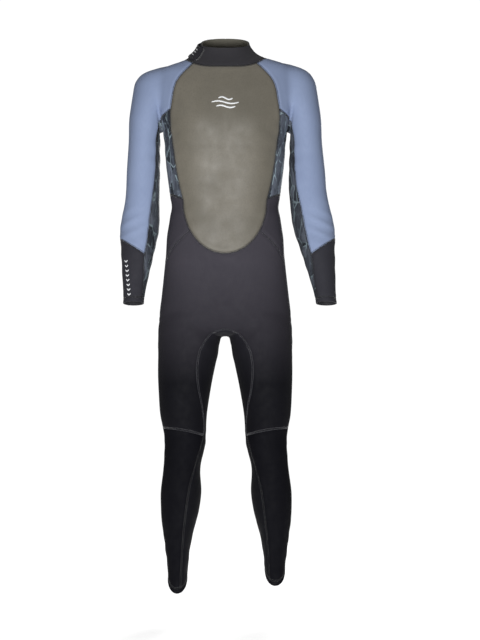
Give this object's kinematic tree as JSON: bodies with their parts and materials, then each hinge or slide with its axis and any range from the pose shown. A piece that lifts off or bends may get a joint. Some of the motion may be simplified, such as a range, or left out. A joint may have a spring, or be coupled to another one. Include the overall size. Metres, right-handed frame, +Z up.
{
  "type": "full wetsuit",
  "caption": "Full-length back-zip neoprene wetsuit with a stand-up collar, sleeves and legs, filled out as if worn, jointed at shoulders, elbows, hips and knees.",
  "frame": {"origin": "centre of the neck opening", "axes": "+Z up towards the head, the front faces -Y, the wearer's right side is at -X"},
  "size_m": [0.5739, 0.2383, 1.4727],
  "materials": {
    "blue_jersey": "nylon jersey over foam, matt",
    "black_jersey": "nylon jersey over foam, matt",
    "charcoal_jersey": "nylon jersey over foam, matt",
    "printed_jersey": "nylon jersey with a faint printed line pattern",
    "smooth_skin": "smooth neoprene skin, slight sheen",
    "hook_and_loop": "hook and loop tape",
    "zip_plastic": "moulded zip teeth",
    "zip_metal": "lacquered"
  },
  "bodies": {
    "suit": {"collar": "charcoal_jersey", "collar_lining": "smooth_skin", "neck_loop_patch": "hook_and_loop", "neck_tab_base": "black_jersey", "chest_panel": "smooth_skin", "front_panel": "charcoal_jersey", "seat_panel": "charcoal_jersey", "gusset": "black_jersey", "zip_tape_right": "black_jersey", "zip_tape_left": "black_jersey", "zip_coil_right": "zip_plastic", "zip_coil_left": "zip_plastic", "zip_top_stops": "zip_metal", "zip_bottom_stop": "zip_metal", "zip_backing_flap": "black_jersey", "right_side_panel": "printed_jersey", "right_back_panel": "black_jersey", "right_shoulder": "blue_jersey", "left_side_panel": "printed_jersey", "left_back_panel": "black_jersey", "left_shoulder": "blue_jersey"},
    "neck_tab": {"neck_tab": "black_jersey", "neck_hook_patch": "hook_and_loop"},
    "zip_slider": {"zip_slider": "zip_metal"},
    "zip_puller": {"zip_puller": "zip_metal"},
    "right_upper_arm": {"right_upper_sleeve": "blue_jersey", "right_upper_underarm": "printed_jersey"},
    "right_forearm": {"right_lower_underarm": "printed_jersey", "right_cuff_panel": "black_jersey", "right_wrist_hem": "black_jersey"},
    "right_thigh": {"right_thigh_front": "charcoal_jersey", "right_thigh_back": "charcoal_jersey", "right_thigh_inner": "black_jersey", "right_knee_panel": "black_jersey"},
    "right_lower_leg": {"right_shin_panel": "black_jersey", "right_calf_panel": "charcoal_jersey", "right_calf_inner": "black_jersey", "right_ankle_hem": "black_jersey"},
    "left_upper_arm": {"left_upper_sleeve": "blue_jersey", "left_upper_underarm": "printed_jersey"},
    "left_forearm": {"left_lower_underarm": "printed_jersey", "left_cuff_panel": "black_jersey", "left_wrist_hem": "black_jersey"},
    "left_thigh": {"left_thigh_front": "charcoal_jersey", "left_thigh_back": "charcoal_jersey", "left_thigh_inner": "black_jersey", "left_knee_panel": "black_jersey"},
    "left_lower_leg": {"left_shin_panel": "black_jersey", "left_calf_panel": "charcoal_jersey", "left_calf_inner": "black_jersey", "left_ankle_hem": "black_jersey"}
  },
  "joints": [
    {"name": "zip_slide", "type": "hinge", "parent": "suit", "child": "zip_slider", "pos_m": [0, -0.638, -0.25], "axis": [1, 0, 0], "range_deg": [-30, 0]},
    {"name": "puller_swing", "type": "hinge", "parent": "zip_slider", "child": "zip_puller", "pos_m": [0, 0.08996, -0.0475], "axis": [1, 0, 0], "range_deg": [0, 150]},
    {"name": "neck_tab_peel", "type": "hinge", "parent": "suit", "child": "neck_tab", "pos_m": [-0.0367, 0.0637, 0.0009], "axis": [-0.202, 0.347, -0.9159], "range_deg": [0, 90]},
    {"name": "right_shoulder_raise", "type": "hinge", "parent": "suit", "child": "right_upper_arm", "pos_m": [-0.212, 0, -0.262], "axis": [0, 1, 0], "range_deg": [0, 60]},
    {"name": "right_elbow_bend", "type": "hinge", "parent": "right_upper_arm", "child": "right_forearm", "pos_m": [-0.228, 0.018, -0.487], "axis": [-1, 0, 0], "range_deg": [0, 75]},
    {"name": "right_hip_bend", "type": "hinge", "parent": "suit", "child": "right_thigh", "pos_m": [-0.095, 0.008, -0.745], "axis": [-1, 0, 0], "range_deg": [-10, 60]},
    {"name": "right_knee_bend", "type": "hinge", "parent": "right_thigh", "child": "right_lower_leg", "pos_m": [-0.108, -0.004, -1.05], "axis": [1, 0, 0], "range_deg": [0, 70]},
    {"name": "left_shoulder_raise", "type": "hinge", "parent": "suit", "child": "left_upper_arm", "pos_m": [0.212, 0, -0.262], "axis": [0, -1, 0], "range_deg": [0, 60]},
    {"name": "left_elbow_bend", "type": "hinge", "parent": "left_upper_arm", "child": "left_forearm", "pos_m": [0.228, 0.018, -0.487], "axis": [-1, 0, 0], "range_deg": [0, 75]},
    {"name": "left_hip_bend", "type": "hinge", "parent": "suit", "child": "left_thigh", "pos_m": [0.095, 0.008, -0.745], "axis": [-1, 0, 0], "range_deg": [-10, 60]},
    {"name": "left_knee_bend", "type": "hinge", "parent": "left_thigh", "child": "left_lower_leg", "pos_m": [0.108, -0.004, -1.05], "axis": [1, 0, 0], "range_deg": [0, 70]}
  ]
}
